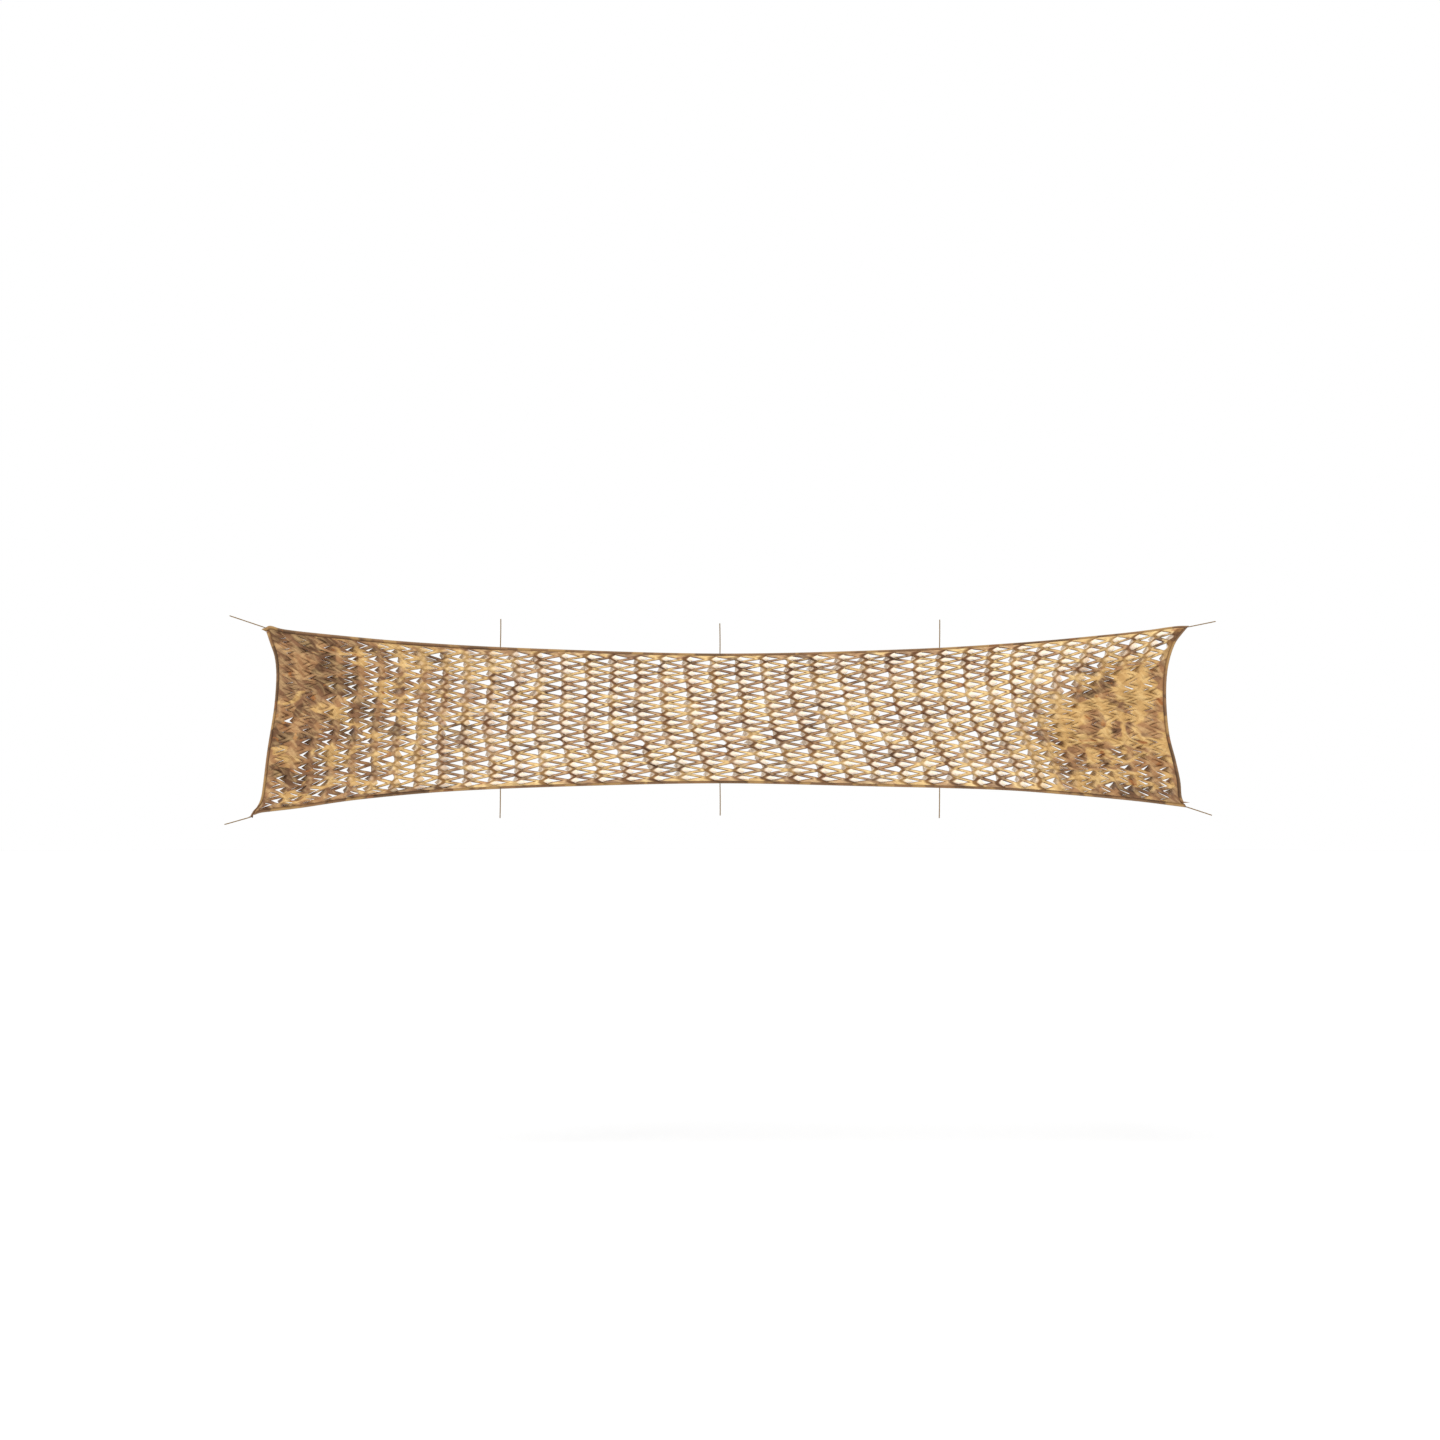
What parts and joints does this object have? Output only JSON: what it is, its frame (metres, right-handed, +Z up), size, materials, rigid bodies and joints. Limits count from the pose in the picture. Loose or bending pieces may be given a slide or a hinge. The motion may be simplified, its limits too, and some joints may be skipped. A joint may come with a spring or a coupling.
{
  "type": "camouflage netting",
  "caption": "Leaf-cut camouflage net hung stretched, drawn in at its middle and gathered at its ends, with taped edges and sewn-in cord ties.",
  "frame": {"origin": "middle of the top edge, where the cloth is held up", "axes": "+X along the length of the net to the right as seen from the front, +Y away from the front, +Z up"},
  "size_m": [5.3189, 0.1237, 1.1258],
  "materials": {
    "printed_cloth": "matt woven cloth, printed in dark umber, mid brown and golden ochre patches",
    "printed_tape": "matt folded tape of the same printed cloth, sewn with two rows of brown thread",
    "cord": "soft twisted beige cord"
  },
  "bodies": {
    "root": {"net_cloth": "printed_cloth", "binding_top": "printed_tape", "binding_bottom": "printed_tape", "binding_left": "printed_tape", "binding_right": "printed_tape", "tie_top_left_corner": "cord", "tie_top_right_corner": "cord", "tie_bottom_left_corner": "cord", "tie_bottom_right_corner": "cord", "tie_top_left": "cord", "tie_top_middle": "cord", "tie_top_right": "cord", "tie_bottom_left": "cord", "tie_bottom_middle": "cord", "tie_bottom_right": "cord"}
  },
  "joints": []
}
